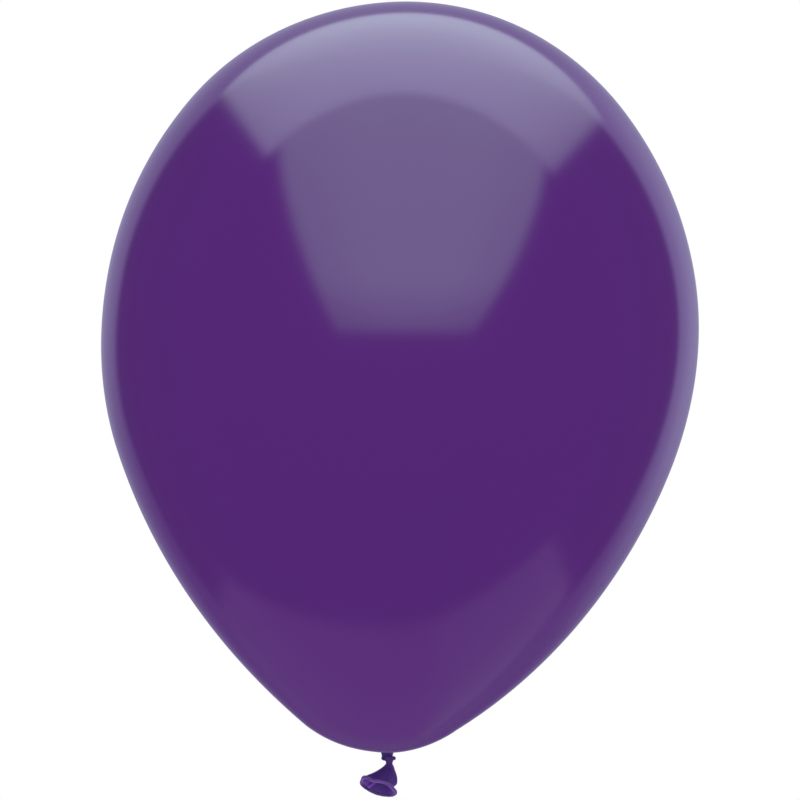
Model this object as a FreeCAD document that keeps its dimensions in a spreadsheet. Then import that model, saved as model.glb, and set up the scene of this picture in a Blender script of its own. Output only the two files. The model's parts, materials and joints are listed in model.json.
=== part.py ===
"""A blown-up latex balloon tied with an overhand knot, in millimetres.

The origin is the middle of the neck, where a ribbon is tied between the bulb and the knot, and where
the bulb flexes on the knot. +Z runs up the bulb's axis, -Y is the side that the mouth faces.
The film is one piece on the real balloon. It is split here where it flexes, and the faces that meet
at a flexing place are parts of spheres about its centre, so the pieces turn without touching.
"""
import FreeCAD, Part
import math
import os
import Sketcher

DIMENSIONS = [
    # the bulb: four tangent arcs from the crown to the base
    ("bulb_width", 279.0),
    ("bulb_top", 350.2),
    ("bulb_base", -0.5),
    ("crown_radius", 130.4),
    ("shoulder_radius", 171.3),
    ("flank_radius", 266.2),
    ("base_radius", 59.2),
    ("film_wall", 0.4),
    # the flexing places: what turns inside is smaller than its socket by flex_gap
    ("flex_gap", 0.15),
    ("neck_ball_radius", 3.3),
    ("neck_radius", 2.85),
    ("waist_ball_radius", 2.1),
    ("waist_radius", 1.85),
    ("waist_side", 0.5),
    ("waist_drop", 6.1),
    # the knot
    ("knot_top_drop", 2.5),
    ("knot_bottom_drop", 5.6),
    ("knot_core_radius", 2.9),
    ("knot_edge_round", 0.6),
    ("wrap_loop_radius", 2.85),
    ("wrap_strand_radius", 0.95),
    ("wrap_drop", 4.1),
    ("wrap_slope", -8.0),
    # the tail: a horn from the waist to an oval mouth, placed from the waist's centre
    ("tail_wall", 0.5),
    ("tail_start_drop", 1.5),
    ("tail_start_radius", 2.2),
    ("tail_hollow_drop", 3.4),
    ("tail_middle_side", -1.7),
    ("tail_middle_front", 2.1),
    ("tail_middle_drop", 5.0),
    ("tail_middle_half_width", 5.4),
    ("tail_middle_half_depth", 3.2),
    ("tail_middle_slope", 8.0),
    ("tail_middle_dip", 68.0),
    ("mouth_side", -4.3),
    ("mouth_front", 7.0),
    ("mouth_drop", 9.9),
    ("mouth_half_width", 8.5),
    ("mouth_half_depth", 4.2),
    ("mouth_slope", 19.0),
    ("mouth_dip", 47.0),
    ("bead_radius", 0.8),
]

doc = FreeCAD.newDocument("LatexBalloon")
sheet = doc.addObject("Spreadsheet::Sheet", "Sizes")
for row, (alias, value) in enumerate(DIMENSIONS, start=1):
    sheet.set(f"A{row}", alias)
    sheet.set(f"B{row}", str(value))
    sheet.setAlias(f"B{row}", alias)
doc.recompute()


def size(alias):
    """A driving dimension, read from the sheet."""
    return float(sheet.get(alias))


def bind(item, **expressions):
    """Binds an object's properties to expressions over the sheet."""
    for name, expression in expressions.items():
        item.setExpression(name, expression)


def place(item, side, front, drop, slope="0", dip="90"):
    """Puts an object at a point, its Z axis dipping from the front and its X axis sloping down to +X."""
    where = f"vector({side}; -({front}); -({drop}))"
    turn = f"rotation(0; {slope}; 90 + {dip})"
    item.setExpression("Placement", f"placement({where}; {turn})")


def ball(name, side, drop, radius):
    """A sphere on the balloon's X-Z plane."""
    item = doc.addObject("Part::Sphere", name)
    bind(item, Radius=radius)
    place(item, side, "0", drop)
    return item


# ---------------------------------------------------------------- the bulb

def bulb_centres():
    """The centres of the bulb's four arcs in the X-Z plane, crown first."""
    crown = (0.0, size("bulb_top") - size("crown_radius"))
    shoulder_x = size("bulb_width") / 2 - size("shoulder_radius")
    shoulder_reach = size("shoulder_radius") - size("crown_radius")
    shoulder = (shoulder_x, crown[1] - math.sqrt(shoulder_reach**2 - shoulder_x**2))
    base = (0.0, size("bulb_base") + size("base_radius"))
    # the flank arc's centre is as far from each neighbour's centre as their radii differ
    to_shoulder = size("flank_radius") - size("shoulder_radius")
    to_base = size("flank_radius") - size("base_radius")
    across, up = shoulder[0] - base[0], shoulder[1] - base[1]
    apart = math.hypot(across, up)
    along = (to_base**2 - to_shoulder**2 + apart**2) / (2 * apart)
    beside = math.sqrt(to_base**2 - along**2)
    flank = (
        base[0] + (along * across - beside * up) / apart,
        base[1] + (along * up + beside * across) / apart,
    )
    return [crown, shoulder, flank, base]


def direction(start, end):
    """The angle of the line from one point to another."""
    return math.atan2(end[1] - start[1], end[0] - start[0])


def draw_wall(sketch, inset):
    """Draws one face of the film, from the axis at the crown to the axis over the neck's socket."""
    names = ["crown", "shoulder", "flank", "base"]
    centres = bulb_centres()
    radii = [size(f"{name}_radius") - inset for name in names]
    socket = size("neck_ball_radius") + size("flex_gap") + inset
    base_height = centres[3][1]
    rim_z = (socket**2 - radii[3] ** 2 + base_height**2) / (2 * base_height)
    rim = (math.sqrt(socket**2 - rim_z**2), rim_z)
    # the angles where one arc hands over to the next, from the apex down to the socket's rim
    turns = [
        math.pi / 2,
        direction(centres[1], centres[0]),
        direction(centres[2], centres[1]),
        direction(centres[2], centres[3]),
        direction(centres[3], rim),
    ]
    arcs = []
    for centre, radius, top_angle, low_angle in zip(centres, radii, turns, turns[1:]):
        circle = Part.Circle(FreeCAD.Vector(*centre, 0), FreeCAD.Vector(0, 0, 1), radius)
        arcs.append(sketch.addGeometry(Part.ArcOfCircle(circle, low_angle, top_angle)))
    circle = Part.Circle(FreeCAD.Vector(0, 0, 0), FreeCAD.Vector(0, 0, 1), socket)
    cup = sketch.addGeometry(Part.ArcOfCircle(circle, direction((0, 0), rim), math.pi / 2))

    start, end, middle, origin, vertical = 1, 2, 3, -1, -2
    add = sketch.addConstraint
    shrink = " - Sizes.film_wall" if inset else ""
    grow = " + Sizes.film_wall" if inset else ""
    for arc, name, radius in zip(arcs, names, radii):
        index = add(Sketcher.Constraint("Radius", arc, radius))
        sketch.setExpression(f"Constraints[{index}]", f"Sizes.{name}_radius{shrink}")
    for upper, lower in zip(arcs, arcs[1:]):
        add(Sketcher.Constraint("Tangent", upper, start, lower, end))
    crown, shoulder, _, base = arcs
    add(Sketcher.Constraint("PointOnObject", crown, middle, vertical))
    add(Sketcher.Constraint("PointOnObject", crown, end, vertical))
    add(Sketcher.Constraint("PointOnObject", base, middle, vertical))
    index = add(Sketcher.Constraint("DistanceY", origin, 1, crown, end, size("bulb_top") - inset))
    sketch.setExpression(f"Constraints[{index}]", f"Sizes.bulb_top{shrink}")
    index = add(Sketcher.Constraint("DistanceX", shoulder, middle, origin, 1, -centres[1][0]))
    sketch.setExpression(f"Constraints[{index}]", "Sizes.shoulder_radius - Sizes.bulb_width / 2")
    index = add(Sketcher.Constraint("DistanceY", origin, 1, base, middle, base_height))
    sketch.setExpression(f"Constraints[{index}]", "Sizes.bulb_base + Sizes.base_radius")
    add(Sketcher.Constraint("Coincident", cup, middle, origin, 1))
    add(Sketcher.Constraint("Coincident", cup, start, base, start))
    add(Sketcher.Constraint("PointOnObject", cup, end, vertical))
    index = add(Sketcher.Constraint("Radius", cup, socket))
    sketch.setExpression(
        f"Constraints[{index}]", f"Sizes.neck_ball_radius + Sizes.flex_gap{grow}"
    )
    return crown, cup, size("bulb_top") - inset, socket


def make_envelope():
    """The bulb: a closed shell of film, dimpled at the base where it flexes round the neck."""
    body = doc.addObject("PartDesign::Body", "envelope")
    plane = next(o for o in body.Origin.OriginFeatures if o.Role == "XZ_Plane")
    sketch = body.newObject("Sketcher::SketchObject", "film_section")
    sketch.AttachmentSupport = [(plane, "")]
    sketch.MapMode = "FlatFace"
    outer_crown, outer_cup, outer_top, outer_socket = draw_wall(sketch, 0.0)
    inner_crown, inner_cup, inner_top, inner_socket = draw_wall(sketch, size("film_wall"))
    ends = [
        (outer_crown, inner_crown, outer_top, inner_top),
        (outer_cup, inner_cup, outer_socket, inner_socket),
    ]
    for outer, inner, outer_z, inner_z in ends:
        segment = Part.LineSegment(FreeCAD.Vector(0, outer_z, 0), FreeCAD.Vector(0, inner_z, 0))
        line = sketch.addGeometry(segment)
        sketch.addConstraint(Sketcher.Constraint("Coincident", line, 1, outer, 2))
        sketch.addConstraint(Sketcher.Constraint("Coincident", line, 2, inner, 2))
    film = body.newObject("PartDesign::Revolution", "film")
    film.Profile = (sketch, [""])
    film.ReferenceAxis = (sketch, ["V_Axis"])
    film.Angle = 360
    return body


# ---------------------------------------------------------------- the gathered neck and waist

def make_barrel(label, side, drop, radius, ball_radius):
    """A short stretch of gathered film: a cylinder with ends rounded about its own centre."""
    column = doc.addObject("Part::Cylinder", f"{label}_column")
    bind(column, Radius=radius, Height=f"2 * {ball_radius}")
    place(column, side, "0", f"({drop}) - {ball_radius}")
    rounding = ball(f"{label}_rounding", side, drop, ball_radius)
    barrel = doc.addObject("Part::Common", label)
    barrel.Base = column
    barrel.Tool = rounding
    return barrel


# ---------------------------------------------------------------- the knot

def make_knot_core(neck_socket, waist_socket):
    """The strand through the knot, with a socket at each end for the film that flexes there."""
    column = doc.addObject("Part::Cylinder", "knot_column")
    bind(column, Radius="Sizes.knot_core_radius")
    bind(column, Height="Sizes.knot_bottom_drop - Sizes.knot_top_drop")
    place(column, "0", "0", "Sizes.knot_top_drop")
    doc.recompute()
    rounded = doc.addObject("Part::Fillet", "knot_rounded")
    rounded.Base = column
    edge_round = size("knot_edge_round")
    rings = [
        number
        for number, edge in enumerate(column.Shape.Edges, start=1)
        if isinstance(edge.Curve, Part.Circle)
    ]
    rounded.Edges = [(number, edge_round, edge_round) for number in rings]
    sockets = doc.addObject("Part::MultiFuse", "knot_sockets")
    sockets.Shapes = [neck_socket, waist_socket]
    core = doc.addObject("Part::Cut", "knot_core")
    core.Base = rounded
    core.Tool = sockets
    return core


def make_knot_wrap():
    """The loop of film pulled tight round the strand."""
    wrap = doc.addObject("Part::Torus", "knot_wrap")
    bind(wrap, Radius1="Sizes.wrap_loop_radius", Radius2="Sizes.wrap_strand_radius")
    place(wrap, "0", "0", "Sizes.wrap_drop", slope="Sizes.wrap_slope")
    return wrap


# ---------------------------------------------------------------- the tail

def oval(name, half_width, half_depth, side, front, drop, slope="0", dip="90"):
    """An oval section of the tail, placed from the waist's centre."""
    item = doc.addObject("Part::Ellipse", name)
    bind(item, MajorRadius=half_width, MinorRadius=half_depth)
    from_waist = (f"Sizes.waist_side + ({side})", front, f"Sizes.waist_drop + ({drop})")
    place(item, *from_waist, slope=slope, dip=dip)
    return item


def make_horn(name, start_drop, inset):
    """A solid horn from the waist to the mouth, smaller by inset all round."""
    start = oval(
        f"{name}_start",
        f"Sizes.tail_start_radius - {inset}",
        f"Sizes.tail_start_radius - {inset}",
        "0", "0", start_drop,
    )
    middle = oval(
        f"{name}_middle",
        f"Sizes.tail_middle_half_width - {inset}",
        f"Sizes.tail_middle_half_depth - {inset}",
        "Sizes.tail_middle_side", "Sizes.tail_middle_front", "Sizes.tail_middle_drop",
        slope="Sizes.tail_middle_slope", dip="Sizes.tail_middle_dip",
    )
    mouth = oval(
        f"{name}_mouth",
        f"Sizes.mouth_half_width - {inset}",
        f"Sizes.mouth_half_depth - {inset}",
        "Sizes.mouth_side", "Sizes.mouth_front", "Sizes.mouth_drop",
        slope="Sizes.mouth_slope", dip="Sizes.mouth_dip",
    )
    lengths = []
    for number, sections in enumerate([(start, middle), (middle, mouth)], start=1):
        length = doc.addObject("Part::Loft", f"{name}_length_{number}")
        length.Sections = list(sections)
        length.Solid = True
        lengths.append(length)
    horn = doc.addObject("Part::MultiFuse", name)
    horn.Shapes = lengths
    return horn


def make_tail(waist_socket):
    """The loose end of the film: a hollow flare under the waist."""
    outside = make_horn("tail_outside", "Sizes.tail_start_drop", "0")
    hollow = make_horn("tail_hollow", "Sizes.tail_hollow_drop", "Sizes.tail_wall")
    spaces = doc.addObject("Part::MultiFuse", "tail_spaces")
    spaces.Shapes = [hollow, waist_socket]
    tail = doc.addObject("Part::Cut", "tail")
    tail.Base = outside
    tail.Tool = spaces
    return tail


def make_mouth_bead():
    """The rolled rim: a round bead swept once round the mouth."""
    spine = oval(
        "bead_spine", "Sizes.mouth_half_width", "Sizes.mouth_half_depth",
        "Sizes.mouth_side", "Sizes.mouth_front", "Sizes.mouth_drop",
        slope="Sizes.mouth_slope", dip="Sizes.mouth_dip",
    )
    doc.recompute()
    roll = doc.addObject("Part::Circle", "bead_roll")
    bind(roll, Radius="Sizes.bead_radius")
    # the roll stands across the spine where the spine starts, at the end of its long axis
    across = spine.Placement.Rotation.multiply(FreeCAD.Rotation(FreeCAD.Vector(1, 0, 0), 90))
    roll.Placement = FreeCAD.Placement(spine.Shape.Vertexes[0].Point, across)
    bead = doc.addObject("Part::Sweep", "mouth_bead")
    bead.Spine = (spine, ["Edge1"])
    bead.Sections = [roll]
    bead.Solid = True
    bead.Frenet = True
    return bead


# ---------------------------------------------------------------- the whole balloon

neck_socket = ball("neck_socket", "0", "0", "Sizes.neck_ball_radius + Sizes.flex_gap")
waist_socket = ball(
    "waist_socket", "Sizes.waist_side", "Sizes.waist_drop", "Sizes.waist_ball_radius + Sizes.flex_gap"
)
waist_place = ("Sizes.waist_side", "Sizes.waist_drop")
nodes = [
    make_envelope(),
    make_barrel("neck", "0", "0", "Sizes.neck_radius", "Sizes.neck_ball_radius"),
    make_knot_core(neck_socket, waist_socket),
    make_knot_wrap(),
    make_barrel("tail_stem", *waist_place, "Sizes.waist_radius", "Sizes.waist_ball_radius"),
    make_tail(waist_socket),
    make_mouth_bead(),
]
doc.recompute()

for item in doc.Objects:
    if "Invalid" in item.State or "Error" in item.State:
        raise RuntimeError(f"{item.Name} failed: {item.State}")
os.makedirs("parts", exist_ok=True)
for node in nodes:
    node.Label = node.Name
    if node.Shape.isNull() or not node.Shape.isValid():
        raise RuntimeError(f"{node.Label} has no valid shape")
    node.Shape.exportStep(f"parts/{node.Label}.step")
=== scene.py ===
"""A blown-up purple latex balloon, tied with an overhand knot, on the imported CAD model's frame.

Lengths are metres in the CAD frame: the origin is the middle of the neck, +Z runs up the bulb's axis and
the mouth of the tail faces -Y. The film is one surface from crown to mouth. It is cut into pieces that
meet ring to ring where the balloon flexes, so the cuts stay closed when the joints move.
"""
import json
import math

import bmesh
import bpy
import numpy as np
from mathutils import Matrix, Vector


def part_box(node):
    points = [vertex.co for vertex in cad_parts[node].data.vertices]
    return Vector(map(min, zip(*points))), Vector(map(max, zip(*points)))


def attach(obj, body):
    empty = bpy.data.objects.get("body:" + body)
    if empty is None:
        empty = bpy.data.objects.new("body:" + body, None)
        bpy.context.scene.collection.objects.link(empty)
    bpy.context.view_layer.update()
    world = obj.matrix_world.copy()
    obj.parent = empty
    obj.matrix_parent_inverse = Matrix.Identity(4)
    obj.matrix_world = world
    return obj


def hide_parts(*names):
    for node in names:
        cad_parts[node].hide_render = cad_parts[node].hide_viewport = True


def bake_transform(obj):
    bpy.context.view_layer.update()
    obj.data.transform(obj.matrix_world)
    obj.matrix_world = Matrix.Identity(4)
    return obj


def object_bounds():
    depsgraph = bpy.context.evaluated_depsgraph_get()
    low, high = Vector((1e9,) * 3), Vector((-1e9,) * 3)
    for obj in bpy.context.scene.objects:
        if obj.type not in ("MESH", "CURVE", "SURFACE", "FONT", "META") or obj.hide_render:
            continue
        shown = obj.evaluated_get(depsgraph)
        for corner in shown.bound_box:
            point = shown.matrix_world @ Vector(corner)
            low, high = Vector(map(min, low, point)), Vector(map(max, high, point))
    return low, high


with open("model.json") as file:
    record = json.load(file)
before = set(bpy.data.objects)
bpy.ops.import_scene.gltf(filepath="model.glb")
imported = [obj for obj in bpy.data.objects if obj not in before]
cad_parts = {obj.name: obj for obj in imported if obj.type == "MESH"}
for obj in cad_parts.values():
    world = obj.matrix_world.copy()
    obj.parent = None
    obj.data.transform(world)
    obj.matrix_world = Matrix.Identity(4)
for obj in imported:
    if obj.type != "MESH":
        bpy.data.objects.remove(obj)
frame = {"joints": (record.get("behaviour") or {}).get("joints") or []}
cad_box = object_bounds()

MM = 0.001
SEED = 7
FULL_TURN = 2 * math.pi

# the places that everything else is worked out from
BULB_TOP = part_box("envelope")[1].z
BULB_HALF_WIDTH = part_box("envelope")[1].x
WAIST = Vector(next(j["pos_m"] for j in frame["joints"] if j["name"] == "tail_sway"))
KNOT_LOW, KNOT_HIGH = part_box("knot_wrap")
MOUTH_LOW, MOUTH_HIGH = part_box("mouth_bead")
MOUTH = (MOUTH_LOW + MOUTH_HIGH) / 2

# the bulb's outline: four tangent arcs, then a fillet into the neck
CROWN_RADIUS = 130.4 * MM
SHOULDER_RADIUS = 171.6 * MM
FLANK_RADIUS = 266.7 * MM
BASE_RADIUS = 59.7 * MM
BULB_BASE = -0.91 * MM
POLE_GAP = 0.004
NECK_RADIUS = 2.7 * MM
NECK_FILLET = 0.8 * MM
NECK_RING = BULB_BASE + BASE_RADIUS - math.sqrt(
    (BASE_RADIUS + NECK_FILLET) ** 2 - (NECK_RADIUS + NECK_FILLET) ** 2
)

# the gathers of the film: how deep their pleats are, and how many points go round a ring
NECK_PLEATS = 0.16 * MM
NECK_AROUND = 240
KNOT_PLEATS = 0.2 * MM
KNOT_AROUND = 96
WAIST_PLEATS = 0.14 * MM
TAIL_AROUND = 192

# the tail
WAIST_TOP = WAIST.z + 1.6 * MM
WAIST_RADIUS = 1.4 * MM
WAIST_MIDDLE = WAIST + Vector((0.45 * MM, 0, 0))
MOUTH_HALF_WIDTH = 8.5 * MM
MOUTH_HALF_DEPTH = 4.2 * MM
MOUTH_SLOPE = math.radians(19)
MOUTH_DIP = math.radians(47)
BEAD_RADIUS = 0.78 * MM
LIP_RADIUS = 0.26 * MM
TAIL_FILM = 0.3 * MM
TAIL_RINGS = 90
RIM_STEPS = 320


# ---------------------------------------------------------------- mesh helpers

def build(name, rings, cap_start=True, cap_end=True, loop=False):
    """A smooth mesh through rings of points, closed round each ring and capped at its ends.

    With loop the last ring joins the first, as on a closed tube."""
    rings = np.asarray(rings, float)
    count, around = rings.shape[:2]
    mesh = bpy.data.meshes.new(name)
    grid = bmesh.new()
    rows = [[grid.verts.new(point) for point in ring] for ring in rings]
    pairs = list(zip(rows, rows[1:]))
    if loop:
        pairs.append((rows[-1], rows[0]))
    for upper, lower in pairs:
        for i in range(around):
            j = (i + 1) % around
            grid.faces.new((upper[i], lower[i], lower[j], upper[j]))
    for wanted, row in ((cap_start, rows[0]), (cap_end, rows[-1])):
        if wanted and not loop:
            centre = grid.verts.new(sum((v.co for v in row), Vector()) / around)
            for i in range(around):
                grid.faces.new((row[i], row[(i + 1) % around], centre))
    bmesh.ops.recalc_face_normals(grid, faces=grid.faces)
    grid.to_mesh(mesh)
    grid.free()
    mesh.shade_smooth()
    piece = bpy.data.objects.new(name, mesh)
    bpy.context.scene.collection.objects.link(piece)
    return piece


def finish_piece(piece, material, nodes, mirrored=True):
    """Gives a piece its material and slot, and hides the CAD nodes that it stands for.

    The small pieces are not mirrored in the bulb just above them, which shows an even sheen there."""
    piece.visible_glossy = mirrored
    piece.data.materials.append(material)
    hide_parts(*nodes)
    return piece


def ease(low, high, value):
    """0 below low, 1 above high, and a smooth step between."""
    t = np.clip((value - low) / (high - low), 0, 1)
    return t * t * (3 - 2 * t)


def pleats(angle, seed):
    """Uneven gathers round a strand, between about -1 and 1."""
    waves = ((8, 0.45), (13, 0.33), (21, 0.22))
    return sum(share * np.cos(count * angle + seed * (1.7 + count)) for count, share in waves)


def round_angles(count):
    """Evenly spaced angles for the points of a ring."""
    return np.linspace(0, FULL_TURN, count, endpoint=False)


# ---------------------------------------------------------------- the bulb

def arc(centre, radius, start, end, count):
    """Points of an arc in the (radius, height) plane, angles counted from the outward direction."""
    angles = np.linspace(start, end, count)
    return np.stack([centre[0] + radius * np.cos(angles), centre[1] + radius * np.sin(angles)], axis=1)


def outline():
    """The bulb's outline from crown to neck, as (radius, height), with its outward normals."""
    crown = np.array([0.0, BULB_TOP - CROWN_RADIUS])
    shoulder_x = BULB_HALF_WIDTH - SHOULDER_RADIUS
    drop = math.sqrt((SHOULDER_RADIUS - CROWN_RADIUS) ** 2 - shoulder_x**2)
    shoulder = np.array([shoulder_x, crown[1] - drop])
    base = np.array([0.0, BULB_BASE + BASE_RADIUS])
    to_shoulder = FLANK_RADIUS - SHOULDER_RADIUS
    to_base = FLANK_RADIUS - BASE_RADIUS
    line = shoulder - base
    apart = float(np.hypot(*line))
    along = (to_base**2 - to_shoulder**2 + apart**2) / (2 * apart)
    beside = math.sqrt(to_base**2 - along**2)
    flank = base + (along * line + beside * np.array([-line[1], line[0]])) / apart
    fillet_x = NECK_RADIUS + NECK_FILLET
    fillet = np.array([fillet_x, base[1] - math.sqrt((BASE_RADIUS + NECK_FILLET) ** 2 - fillet_x**2)])

    def angle(start, end):
        return math.atan2(end[1] - start[1], end[0] - start[0])

    turns = [
        math.pi / 2 - POLE_GAP,
        angle(shoulder, crown),
        angle(flank, shoulder),
        angle(flank, base),
        angle(base, fillet),
    ]
    centres = [crown, shoulder, flank, base]
    radii = [CROWN_RADIUS, SHOULDER_RADIUS, FLANK_RADIUS, BASE_RADIUS]
    counts = [44, 60, 44, 40]
    points, normals = [], []
    for centre, radius, top, low, count in zip(centres, radii, turns, turns[1:], counts):
        points.append(arc(centre, radius, top, low, count)[:-1])
        normals.append(arc((0, 0), 1, top, low, count)[:-1])
    start = angle(fillet, base)
    points.append(arc(fillet, NECK_FILLET, start, math.pi, 12))
    normals.append(-arc((0, 0), 1, start, math.pi, 12))
    return np.concatenate(points), np.concatenate(normals)


def lean(radius, height):
    """How far a ring's middle stands to +X of the axis: this bulb is blown up a little unevenly.

    The lower half leans to -X, most of all just above the base, and the upper half to +X. The neck
    stays where it is."""
    base_top, base_fade = 10 * MM, 20 * MM
    crown_low, crown_tall = 300 * MM, 50 * MM
    halves = -0.55 * MM + 1.15 * MM * ease(0.40, 0.64, height / BULB_TOP)
    crown = 1.6 * MM * max((height - crown_low) / crown_tall, 0) ** 3
    base = -2.65 * MM * math.exp(-max(height - base_top, 0) / base_fade)
    near_neck = math.exp(-(radius - NECK_RADIUS) / (10 * MM)) if height < base_top else 0.0
    return (halves + base) * (1 - near_neck) + crown


def ring_points(radius, height, angles):
    """A ring round the Z axis."""
    return np.stack([radius * np.cos(angles), radius * np.sin(angles), height + 0 * angles], axis=-1)


def make_bulb():
    """The bulb's film, gathered where it runs down into the neck."""
    points, normals = outline()
    angles = round_angles(NECK_AROUND)
    gather = pleats(angles, SEED)
    rings = []
    for (radius, height), (out, up) in zip(points, normals):
        near_neck = math.exp(-(radius - NECK_RADIUS) / (1.6 * MM)) * ease(3 * MM, 1 * MM, height)
        depth = NECK_PLEATS * near_neck * gather
        ring = ring_points(radius + out * depth, 0.0, angles)
        ring[:, 2] = height + up * depth
        ring[:, 0] += lean(radius, height)
        rings.append(ring)
    return build("bulb_film", rings)


# ---------------------------------------------------------------- the neck, knot and waist

def strand(name, centres, radii, seed, pleat_depth, around):
    """An upright gathered strand: a ring at each centre, with pleats of the given depth."""
    angles = round_angles(around)
    folds = pleat_depth * pleats(angles, seed)
    rings = [ring_points(radius + folds, 0.0, angles) + centre for centre, radius in zip(centres, radii)]
    return build(name, rings)


def make_neck():
    """The gathered neck between the bulb's last ring and the knot."""
    steps = 14
    narrowing = 0.3 * MM
    heights = np.linspace(NECK_RING, KNOT_HIGH.z - 0.9 * MM, steps)
    share = np.linspace(0, 1, steps)
    radii = NECK_RADIUS - narrowing * np.sin(share * math.pi / 2)
    centres = [(0, 0, z) for z in heights]
    return strand("neck_gather", centres, radii, SEED, NECK_PLEATS, NECK_AROUND)


def make_knot_core():
    """The lump of film that the loop is pulled tight on, tapering down into the waist."""
    top_radius, swelling, tapering = 1.9 * MM, 0.75 * MM, 1.0 * MM
    top_side = 0.2 * MM
    share = np.linspace(0, 1, 26)
    top, bottom = KNOT_HIGH.z + 0.3 * MM, WAIST.z + 1.3 * MM
    heights = top + (bottom - top) * share
    radii = top_radius + swelling * ease(0, 0.5, share) - tapering * ease(0.5, 1.0, share)
    drift = top_side + (WAIST_MIDDLE.x - top_side) * ease(0.4, 1.0, share)
    centres = [(x, 0, z) for x, z in zip(drift, heights)]
    return strand("knot_core_film", centres, radii, SEED + 2, KNOT_PLEATS, KNOT_AROUND)


def make_knot_wrap():
    """The loop of the overhand knot: a gathered strand wound once and a third round the core.

    Both its ends tuck in towards the core, and a spur of film is pulled out to +X."""
    turns, start = 1.36, math.radians(200)
    steps, around = 220, 40
    loop_radius, loop_side = 2.2 * MM, 0.25 * MM
    strand_high, strand_deep = 0.88 * MM, 0.92 * MM
    climb, tilt = 0.6 * MM, 0.2 * MM
    spur_reach, spur_width = 0.65 * MM, 0.35
    middle = (KNOT_LOW.z + KNOT_HIGH.z) / 2 + 0.5 * MM
    section = round_angles(around)
    rings = []
    for share in np.linspace(0, 1, steps):
        angle = start + turns * FULL_TURN * share
        free = ease(0, 0.13, share) * (1 - ease(0.87, 1.0, share))
        spur = spur_reach * math.exp(-((math.remainder(angle, FULL_TURN) / spur_width) ** 2))
        reach = loop_radius * (0.3 + 0.7 * free) + spur * free
        height = middle + climb * (1 - 2 * share) - tilt * math.cos(angle)
        out = np.array([math.cos(angle), math.sin(angle), 0])
        swell = 1 + 0.1 * math.sin(9 * angle + 1.0) * free
        half_high = strand_high * (0.7 + 0.3 * free) * swell
        half_deep = strand_deep * (0.7 + 0.3 * free)
        crease = 1 + 0.07 * np.cos(7 * section + 2.2 * math.sin(3 * angle))
        deep = np.outer(half_deep * crease * np.cos(section), out)
        high = np.outer(half_high * crease * np.sin(section), (0, 0, 1))
        centre = out * reach + np.array([loop_side, 0, height])
        rings.append(centre + deep + high)
    return build("knot_wrap_film", rings)


def make_waist():
    """The tight waist between the knot and the tail's top ring."""
    widening = 0.35 * MM
    share = np.linspace(0, 1, 12)
    heights = WAIST_TOP + (WAIST.z - WAIST_TOP) * share
    radii = WAIST_RADIUS + widening * (1 - ease(0, 1, share))
    centres = [(WAIST_MIDDLE.x, 0, z) for z in heights]
    return strand("waist_gather", centres, radii, SEED + 4, WAIST_PLEATS, TAIL_AROUND)


# ---------------------------------------------------------------- the tail

def tail_turn(share):
    """The frame of the tail's cross-section: level at the waist, tipped to the mouth's slope and dip."""
    slope = MOUTH_SLOPE * ease(0.1, 1, share)
    dip = math.pi / 2 + (MOUTH_DIP - math.pi / 2) * ease(0.1, 1, share)
    return np.array(Matrix.Rotation(slope, 3, "Y") @ Matrix.Rotation(math.pi / 2 + dip, 3, "X"))


def tail_centre(share):
    """The tail's centre line: straight down from the waist, then along the way the mouth faces."""
    out = tail_turn(1.0) @ np.array([0, 0, 1])
    start = np.array(WAIST_MIDDLE)
    end = np.array(MOUTH)
    first = start + np.array([0, 0, -3.6 * MM])
    second = end - out * 4.5 * MM
    rest = 1 - share
    return rest**3 * start + 3 * rest**2 * share * first + 3 * rest * share**2 * second + share**3 * end


STAYS = (2, 3)


def fold(share, angles, at, width, grow, fade=STAYS):
    """How strongly a lengthwise fold shows, 0 to 1: at and width are in degrees round the tail.

    It comes up over the grow range of share and goes again over the fade range. STAYS is a fade
    range past the mouth, for a fold that runs right to the rim."""
    apart = np.angle(np.exp(1j * (angles - math.radians(at))))
    when = ease(*grow, share) * (1 - ease(*fade, share))
    return when * np.exp(-((apart / math.radians(width)) ** 2))


def ridge(share, angles):
    """The narrow fold that stands up inside the tail and drifts round as it runs to the mouth."""
    return fold(share, angles, 268 - 30 * share, 5, (0.3, 0.5), (0.93, 1.0))


RIDGE_HEIGHT = 1.0 * MM

# the slack film's other folds: angle, width, height in mm, and where each comes and goes
FOLDS = (
    (120, 13, -0.6, (0.6, 1), STAYS),
    (178, 20, -0.45, (0.7, 1), STAYS),
    (180, 45, 0.55, (0.05, 0.4), (0.7, 0.95)),
    (143, 18, 0.75, (0.65, 0.95), STAYS),
    (132, 10, 0.4, (0.75, 1), STAYS),
    (262, 40, 0.45, (0.6, 1), STAYS),
    (12, 16, 0.45, (0.85, 1), STAYS),
    (5, 22, 1.15, (0.2, 0.62), (0.68, 0.86)),
    (2, 16, -0.9, (0.68, 0.86), (0.88, 1.0)),
    (40, 7, 0.3, (0.15, 0.4), (0.6, 0.8)),
    (75, 8, -0.25, (0.1, 0.4), (0.7, 0.95)),
)


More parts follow.
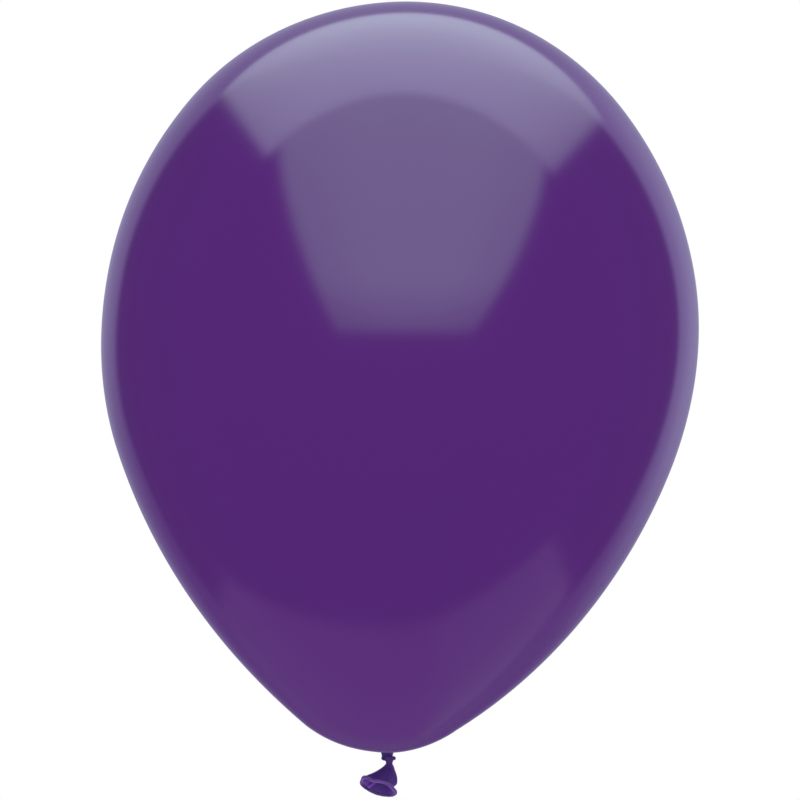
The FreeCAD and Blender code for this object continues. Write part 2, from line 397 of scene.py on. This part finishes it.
def tail_offset(share, angles, inset):
    """Where the film stands from the centre line, in the cross-section's own two directions."""
    half_width = WAIST_RADIUS + (MOUTH_HALF_WIDTH - WAIST_RADIUS) * share - inset
    half_depth = WAIST_RADIUS + (MOUTH_HALF_DEPTH - WAIST_RADIUS) * share - inset
    out = WAIST_PLEATS * (1 - ease(0.1, 0.9, share)) * pleats(angles, SEED + 4)
    out = out - RIDGE_HEIGHT * ridge(share, angles)
    for at, width, height, grow, fade in FOLDS:
        out = out + height * MM * fold(share, angles, at, width, grow, fade)
    lift = fold(share, angles, 160, 30, (0.4, 1)) + fold(share, angles, 55, 45, (0.8, 1))
    lift = lift + 0.5 * fold(share, angles, 68, 22, (0.8, 1)) - 1.4 * ease(0.4, 1, share)
    return (half_width + out) * np.cos(angles), (half_depth + out) * np.sin(angles) + lift * MM


def tail_ring(share, angles, inset=0.0):
    """One ring of the tail's film."""
    across, deep = tail_offset(share, angles, inset)
    turn = tail_turn(share)
    return tail_centre(share) + np.outer(across, turn[:, 0]) + np.outer(deep, turn[:, 1])


def make_tail():
    """The hollow flare: its outside from the waist to the mouth, then its inside back up to the waist.

    The vertices carry how much of the ridge each one is, for the painted highlight along the ridge in the
    material inside."""
    angles = round_angles(TAIL_AROUND)
    down = np.linspace(0, 1, TAIL_RINGS)
    back = np.linspace(1, 0.12, TAIL_RINGS)
    outside = [tail_ring(share, angles) for share in down]
    inside = [tail_ring(share, angles, TAIL_FILM) for share in back]
    tail = build("tail_flare", outside + inside)
    for index, face in enumerate(tail.data.polygons):
        face.material_index = int(index >= TAIL_RINGS * TAIL_AROUND)
    strength = np.zeros(len(tail.data.vertices), np.float32)
    on_ridge = np.array([ridge(share, angles) for share in (*down, *back)])
    strength[: on_ridge.size] = on_ridge.ravel()
    tail.data.attributes.new("ridge", "FLOAT", "POINT").data.foreach_set("value", strength)
    return tail


def rim_tube(name, radii, forward, around):
    """A closed tube along the mouth's rim, set forward the way the mouth faces."""
    rim = tail_ring(1.0, round_angles(RIM_STEPS), TAIL_FILM / 2)
    ahead = np.roll(rim, -1, axis=0) - np.roll(rim, 1, axis=0)
    ahead /= np.linalg.norm(ahead, axis=1)[:, None]
    out = tail_turn(1.0)[:, 2]
    side = np.cross(ahead, out)
    section = round_angles(around)
    rings = []
    for point, radius, across in zip(rim, radii, side):
        circle = np.outer(np.cos(section), across) + np.outer(np.sin(section), out)
        rings.append(point + out * forward + radius * circle)
    return build(name, rings, loop=True)


def make_bead():
    """The rolled rim of the mouth."""
    angles = round_angles(RIM_STEPS)
    uneven = 0.05 * np.cos(5 * angles + 0.7) + 0.03 * np.cos(17 * angles)
    radii = BEAD_RADIUS * (1 + 0.08 * np.sin(angles) + uneven)
    return rim_tube("mouth_roll", radii, 0.0, 28)


def make_lip():
    """The film's own edge, where the roll ends: a fine pale line along the front of the rim, whose pale
    colour is a painted highlight.

    It sinks into the roll along the lower half."""
    angles = round_angles(RIM_STEPS)
    showing = 0.35 + 0.65 * ease(-0.3, 0.6, np.sin(angles))
    radii = LIP_RADIUS * showing * (1 + 0.15 * np.cos(7 * angles))
    return rim_tube("mouth_lip", radii, BEAD_RADIUS - 0.4 * LIP_RADIUS, 12)


# ---------------------------------------------------------------- materials

# noise scales, per metre
CLOUDS = 14.0
STREAKS = 900.0
SKIN = 2600.0

# the film's colours: stretched over the bulb, slack, gathered deep (also the painted shade along the mouth's
# lower rim), the roll's painted highlight, inside, painted light inside the tail, and the painted highlight
# on the lip at its edge
STRETCHED = (0.0935, 0.0183, 0.191)
STRETCHED_DEEP = (0.085, 0.0163, 0.176)
SLACK = (0.1, 0.043, 0.25)
DEEP = (0.075, 0.026, 0.195)
# the roll's pale colour is a painted highlight
ROLL_HIGHLIGHT = (0.155, 0.068, 0.32)
INSIDE = (0.165, 0.085, 0.34)
# painted light inside the tail, on its ridge and at -X
PAINTED_INSIDE_LIGHT = (0.3, 0.15, 0.5)
# the lip's pale colour, a painted highlight
LIP_HIGHLIGHT = (0.24, 0.134, 0.39)


class Nodes:
    """A short way to write a material's or the world's node tree."""

    def __init__(self, tree):
        self.tree = tree

    def add(self, kind, **settings):
        node = self.tree.nodes.new(kind)
        for name, value in settings.items():
            setattr(node, name, value)
        return node

    def put(self, value, socket):
        """Links a socket's value, or sets a constant."""
        if isinstance(value, bpy.types.NodeSocket):
            self.tree.links.new(value, socket)
        else:
            socket.default_value = value

    def maths(self, operation, *values):
        node = self.add("ShaderNodeMath", operation=operation)
        for value, socket in zip(values, node.inputs):
            self.put(value, socket)
        return node.outputs[0]

    def times(self, first, *others):
        """The product of all the values."""
        for other in others:
            first = self.maths("MULTIPLY", first, other)
        return first

    def step(self, value, low, high):
        """A smooth step: 0 at low, 1 at high."""
        node = self.add("ShaderNodeMapRange", interpolation_type="SMOOTHSTEP")
        for name, item in (("Value", value), ("From Min", low), ("From Max", high)):
            self.put(item, node.inputs[name])
        return node.outputs["Result"]

    def between(self, value, low, high, soft):
        """1 between two limits, with soft edges."""
        rising = self.step(value, low - soft, low + soft)
        falling = self.step(value, high + soft, high - soft)
        return self.times(rising, falling)

    def noise(self, vector, scale, detail=3.0):
        node = self.add("ShaderNodeTexNoise")
        self.put(vector, node.inputs["Vector"])
        node.inputs["Scale"].default_value = scale
        node.inputs["Detail"].default_value = detail
        return node.outputs["Fac"]

    def mix(self, factor, first, second):
        node = self.add("ShaderNodeMix", data_type="RGBA")
        self.put(factor, node.inputs["Factor"])
        self.put(first, node.inputs[6])
        self.put(second, node.inputs[7])
        return node.outputs[2]

    def stretch(self, vector, scale):
        """The vector scaled along each axis, so that a noise runs in streaks."""
        node = self.add("ShaderNodeMapping")
        self.put(vector, node.inputs["Vector"])
        node.inputs["Scale"].default_value = scale
        return node.outputs["Vector"]


def latex(name, colour, deep_colour, roughness, bump_height, streaks, through=0.0, specular=0.5):
    """Glossy pigmented latex: a faintly uneven depth of colour, a fine skin and a few dusty streaks."""
    material = bpy.data.materials.new(name)
    material.use_nodes = True
    nodes = Nodes(material.node_tree)
    shader = material.node_tree.nodes["Principled BSDF"]
    place = nodes.add("ShaderNodeTexCoord").outputs["Object"]
    clouds = nodes.noise(place, CLOUDS)
    fine = nodes.noise(nodes.stretch(place, streaks), STREAKS)
    skin = nodes.noise(place, SKIN, detail=2.0)
    depth = nodes.maths("MULTIPLY_ADD", fine, 0.3, nodes.step(clouds, 0.3, 0.8))
    tint = nodes.mix(nodes.times(depth, 0.32), (*colour, 1), (*deep_colour, 1))
    nodes.put(tint, shader.inputs["Base Color"])
    cloudy = nodes.maths("MULTIPLY_ADD", clouds, 0.03, roughness)
    nodes.put(nodes.maths("MULTIPLY_ADD", skin, 0.04, cloudy), shader.inputs["Roughness"])
    shader.inputs["IOR"].default_value = 1.5
    shader.inputs["Specular IOR Level"].default_value = specular
    shader.inputs["Subsurface Weight"].default_value = through
    shader.inputs["Subsurface Radius"].default_value = (1.0, 0.55, 1.2)
    shader.inputs["Subsurface Scale"].default_value = 0.6 * MM
    bump = nodes.add("ShaderNodeBump")
    bump.inputs["Strength"].default_value = 0.35
    bump.inputs["Distance"].default_value = bump_height
    nodes.put(nodes.maths("ADD", skin, nodes.times(fine, 0.6)), bump.inputs["Height"])
    nodes.put(bump.outputs["Normal"], shader.inputs["Normal"])
    return material


def slack_latex(name, colour, deep_colour, roughness=0.2, specular=0.35, streaks=(1, 1, 0.3)):
    """Latex that isn't stretched: thick, with a coarser skin, and light comes softly through it."""
    return latex(name, colour, deep_colour, roughness, 0.03 * MM, streaks, through=1.0, specular=specular)


def retint(material, colour, amount):
    """Mixes another colour into a latex, by what amount(nodes, x, y, z) gives at each place, 0 to 1."""
    nodes = Nodes(material.node_tree)
    base = material.node_tree.nodes["Principled BSDF"].inputs["Base Color"]
    tint = base.links[0].from_socket
    split = nodes.add("ShaderNodeSeparateXYZ")
    nodes.put(nodes.add("ShaderNodeTexCoord").outputs["Object"], split.inputs[0])
    nodes.put(nodes.mix(amount(nodes, *split.outputs), tint, (*colour, 1)), base)


def inside_latex():
    """The powdery inside of the tail, with painted light making it paler along its ridge (a painted
    highlight) and at -X.
    """
    def painted_light_inside(nodes, x, y, z):
        # painted light: the inside is paler towards -X
        lit_left = nodes.times(nodes.step(x, MOUTH.x - 2.5 * MM, MOUTH.x - 6.5 * MM), 0.6)
        # painted highlight along the ridge
        on_ridge = nodes.add("ShaderNodeAttribute", attribute_name="ridge").outputs["Fac"]
        return nodes.maths("MAXIMUM", lit_left, on_ridge)

    material = slack_latex("dusty_latex_with_painted_light", INSIDE, SLACK, roughness=0.6, specular=0.05)
    retint(material, PAINTED_INSIDE_LIGHT, painted_light_inside)
    return material


def roll_highlight_and_shade_latex():
    """The roll round the mouth: a pale painted highlight where it stands free, and painted shade along the
    lower rim.
    """
    def lower_rim_shade(nodes, x, y, z):
        # painted shade along the lower rim of the roll
        return nodes.times(nodes.step(y, MOUTH.y + 0.5 * MM, MOUTH.y + 3 * MM), 0.85)

    # the roll's base colour is a painted highlight, and the retint below paints shade along the lower rim
    material = slack_latex("roll_highlight_and_shade_latex", ROLL_HIGHLIGHT, SLACK, streaks=(1, 1, 1))
    retint(material, DEEP, lower_rim_shade)
    return material


def bulb_latex():
    """The stretched film, with a thicker spot at the crown, and gathered film down at the neck."""
    def crown(nodes, x, y, z):
        return nodes.times(nodes.step(z, BULB_TOP - 5 * MM, BULB_TOP + 1 * MM), 0.45)

    def neck(nodes, x, y, z):
        return nodes.step(z, 1.5 * MM, -1.2 * MM)

    material = latex("bulb_latex", STRETCHED, STRETCHED_DEEP, 0.1, 0.006 * MM, (1, 1, 0.15))
    retint(material, SLACK, crown)
    retint(material, DEEP, neck)
    return material


# ---------------------------------------------------------------- studio

# what the film mirrors, as light from each part of the studio
SOFTBOX_LIGHT = (3.15, 3.75, 3.95, 1)
PANEL_LIGHT = (1.8, 2.45, 2.15, 1)
WALL_LEFT = (0.4, 0.4, 0.58, 1)
WALL_RIGHT = (0.54, 0.54, 0.8, 1)
FLOOR_LEFT = (0.42, 0.27, 0.48, 1)
FLOOR_RIGHT = (0.42, 0.36, 0.49, 1)
CURVE_FAR = (0.15, 0.11, 0.24, 1)
CURVE_NEAR = (0.24, 0.19, 0.32, 1)
DARK_ROOM = (0.05, 0.05, 0.06, 1)
TINY = 0.001


def softbox(nodes, side, front):
    """How much of the softbox shows at a place on the ceiling: brightest in its middle and at its front."""
    edges = nodes.times(nodes.between(side, -0.99, 1.09, 0.05), nodes.between(front, -1.3, 0.18, 0.04))
    fade_side = nodes.maths("MULTIPLY_ADD", nodes.maths("POWER", side, 2.0), -0.45, 1.0)
    fade_back = nodes.maths("MULTIPLY_ADD", nodes.maths("MINIMUM", front, 0.0), 0.45, 1.0)
    return nodes.times(edges, nodes.maths("MAXIMUM", nodes.times(fade_side, fade_back), 0.2))


def front_panel(nodes, side, front, up):
    """How much of the panel in front of the softbox shows: it widens and dims towards the horizon."""
    left_edge = nodes.maths("MULTIPLY_ADD", front, -0.43, -0.78)
    right_edge = nodes.maths("MULTIPLY_ADD", front, 0.51, 0.91)
    from_left = nodes.maths("DIVIDE", nodes.maths("SUBTRACT", side, left_edge), right_edge)
    from_right = nodes.maths("DIVIDE", nodes.maths("SUBTRACT", right_edge, side), right_edge)
    sides = nodes.times(nodes.step(from_left, -0.07, 0.09), nodes.step(from_right, -0.07, 0.09))
    ends = nodes.times(nodes.step(front, 0.14, 0.22), nodes.step(up, -0.02, 0.06))
    fade_up = nodes.maths("MULTIPLY_ADD", nodes.step(up, 0.05, 0.32), 0.4, 0.6)
    from_side = nodes.maths("MINIMUM", from_left, from_right)
    fade_side = nodes.maths("MULTIPLY_ADD", nodes.step(from_side, 0.05, 0.7), 0.2, 0.8)
    return nodes.times(sides, ends, fade_up, fade_side)


def sweep_edges(nodes, wall_side, side, front, up):
    """Where the sweep shows: a wall behind, and a floor whose near edge is bowed."""
    wall = nodes.between(wall_side, -0.83, 1.02, 0.07)
    bow_left = nodes.maths("POWER", nodes.maths("MINIMUM", side, 0.0), 2.0)
    bow_right = nodes.maths("POWER", nodes.maths("MAXIMUM", side, 0.0), 2.0)
    bowed = nodes.maths("MULTIPLY_ADD", bow_left, 0.65, front)
    bowed = nodes.maths("MULTIPLY_ADD", bow_right, 0.22, bowed)
    near_edge = nodes.step(bowed, 0.24, 0.16)
    floor = nodes.times(nodes.between(side, -1.12, 1.2, 0.06), near_edge, nodes.step(up, 0.0, -0.05))
    return nodes.maths("MAXIMUM", wall, floor)


def sweep_light(nodes, wall_side, side, front, up):
    """The sweep's light: brighter at the right, and dimmest where the floor curves up into the wall."""
    on_right = nodes.step(wall_side, 0.25, 0.65)
    wall_colour = nodes.mix(on_right, WALL_LEFT, WALL_RIGHT)
    wall_height = nodes.maths("MULTIPLY_ADD", on_right, 0.13, up)
    curve_colour = nodes.mix(nodes.step(front, -1.9, -1.0), CURVE_FAR, CURVE_NEAR)
    curve_to_wall = nodes.mix(nodes.step(wall_height, -0.42, 0.08), curve_colour, wall_colour)
    floor_right = nodes.step(side, 0.2, 0.5)
    floor_colour = nodes.mix(floor_right, FLOOR_LEFT, FLOOR_RIGHT)
    lit_near = nodes.step(front, -1.1, 0.2)
    lit_right = nodes.times(floor_right, 0.85, nodes.step(front, -1.02, -0.86))
    return nodes.mix(nodes.maths("MAXIMUM", lit_near, lit_right), curve_to_wall, floor_colour)


def glossy_studio(nodes, direction):
    """What the film mirrors, by direction: a softbox overhead, a panel in front, and a pale sweep behind.

    Places on the ceiling and the floor are measured with each one unit from the balloon."""
    split = nodes.add("ShaderNodeSeparateXYZ")
    nodes.put(direction, split.inputs[0])
    side, back, up = split.outputs
    front = nodes.times(back, -1.0)
    above = nodes.maths("MAXIMUM", up, TINY)
    below = nodes.maths("MAXIMUM", nodes.times(up, -1.0), TINY)
    ceiling = [nodes.maths("DIVIDE", way, above) for way in (side, front)]
    floor = [nodes.maths("DIVIDE", way, below) for way in (side, front)]
    wall_side = nodes.maths("DIVIDE", side, nodes.maths("MAXIMUM", back, TINY))
    sweep = sweep_edges(nodes, wall_side, *floor, up)
    total = nodes.mix(sweep, DARK_ROOM, sweep_light(nodes, wall_side, *floor, up))
    total = nodes.mix(softbox(nodes, *ceiling), total, SOFTBOX_LIGHT)
    return nodes.mix(front_panel(nodes, *ceiling, up), total, PANEL_LIGHT)


def make_world():
    """Plain white to the camera, an even dome for shading, and the studio for reflections."""
    world = bpy.data.worlds.new("studio")
    bpy.context.scene.world = world
    world.use_nodes = True
    nodes = Nodes(world.node_tree)
    world.node_tree.nodes.clear()
    direction = nodes.add("ShaderNodeTexCoord").outputs["Generated"]
    path = nodes.add("ShaderNodeLightPath")
    white = nodes.add("ShaderNodeBackground")
    white.inputs["Color"].default_value = (1, 1, 1, 1)
    mirrored = nodes.add("ShaderNodeBackground")
    nodes.put(glossy_studio(nodes, direction), mirrored.inputs["Color"])
    blend = nodes.add("ShaderNodeMixShader")
    nodes.put(path.outputs["Is Glossy Ray"], blend.inputs[0])
    nodes.put(white.outputs[0], blend.inputs[1])
    nodes.put(mirrored.outputs[0], blend.inputs[2])
    output = nodes.add("ShaderNodeOutputWorld")
    nodes.put(blend.outputs[0], output.inputs["Surface"])


def make_floor():
    """A plain pale floor well under the balloon, which hangs in the air."""
    radius, drop = 4.0, 1.2
    angles = round_angles(96)
    height = cad_box[0].z - drop
    floor = build("floor", [ring_points(r, height, angles) for r in (0.05, 0.8, radius)], cap_end=False)
    material = bpy.data.materials.new("floor_paper")
    material.use_nodes = True
    nodes = Nodes(material.node_tree)
    shader = material.node_tree.nodes["Principled BSDF"]
    grain = nodes.noise(nodes.add("ShaderNodeTexCoord").outputs["Object"], 40.0)
    nodes.put(nodes.mix(grain, (0.92, 0.92, 0.92, 1), (0.94, 0.94, 0.94, 1)), shader.inputs["Base Color"])
    shader.inputs["Roughness"].default_value = 0.9
    shader.inputs["Specular IOR Level"].default_value = 0.0
    floor.data.materials.append(material)
    floor.visible_glossy = False


def make_camera():
    """Level with the bulb's middle and a long way off, rolled so that the balloon leans a little right."""
    distance, frame_width = 2.2, 0.3744
    roll = math.radians(1.65)
    neck_low, neck_left = 164.0 * MM, 5.85 * MM
    camera = bpy.data.cameras.new("camera")
    camera.sensor_width = 36.0
    camera.lens = camera.sensor_width * distance / frame_width
    camera.clip_end = 50.0
    right = Vector((math.cos(roll), 0, math.sin(roll)))
    up = Vector((-math.sin(roll), 0, math.cos(roll)))
    back = right.cross(up)
    place = back * distance + right * neck_left + up * neck_low
    holder = bpy.data.objects.new("camera", camera)
    bpy.context.scene.collection.objects.link(holder)
    turn = Matrix((right, up, back)).transposed().to_4x4()
    holder.matrix_world = Matrix.Translation(place) @ turn
    bpy.context.scene.camera = holder


# ---------------------------------------------------------------- the whole balloon

def make_balloon():
    """Every piece, its material and the bodies that it rides on."""
    stretched = bulb_latex()
    slack = slack_latex("slack_latex", SLACK, DEEP)
    gathered = slack_latex("gathered_latex", DEEP, SLACK)
    # the inside's material: powdery colour with painted light
    dusty = inside_latex()
    # the roll's material: a painted highlight, with painted shade along the lower rim
    rolled = roll_highlight_and_shade_latex()
    # the lip's pale material is a painted highlight
    edge = slack_latex("lip_highlight_latex", LIP_HIGHLIGHT, ROLL_HIGHLIGHT, roughness=0.25, specular=0.5, streaks=(1, 1, 1))

    bulb = finish_piece(make_bulb(), stretched, ["envelope"])
    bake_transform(bulb)
    neck = finish_piece(make_neck(), gathered, ["neck"], False)
    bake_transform(neck)
    core = finish_piece(make_knot_core(), gathered, ["knot_core"], False)
    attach(core, "knot")
    wrap = finish_piece(make_knot_wrap(), gathered, ["knot_wrap"], False)
    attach(wrap, "knot")
    waist = finish_piece(make_waist(), slack, ["tail_stem"], False)
    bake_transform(waist)
    tail = finish_piece(make_tail(), slack, ["tail"], False)
    tail.data.materials.append(dusty)
    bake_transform(tail)
    bead = finish_piece(make_bead(), rolled, ["mouth_bead"], False)
    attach(bead, "tail")
    lip = finish_piece(make_lip(), edge, ["mouth_bead"], False)
    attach(lip, "tail")


make_balloon()
make_world()
make_floor()
make_camera()
bpy.context.scene.view_settings.view_transform = "Standard"
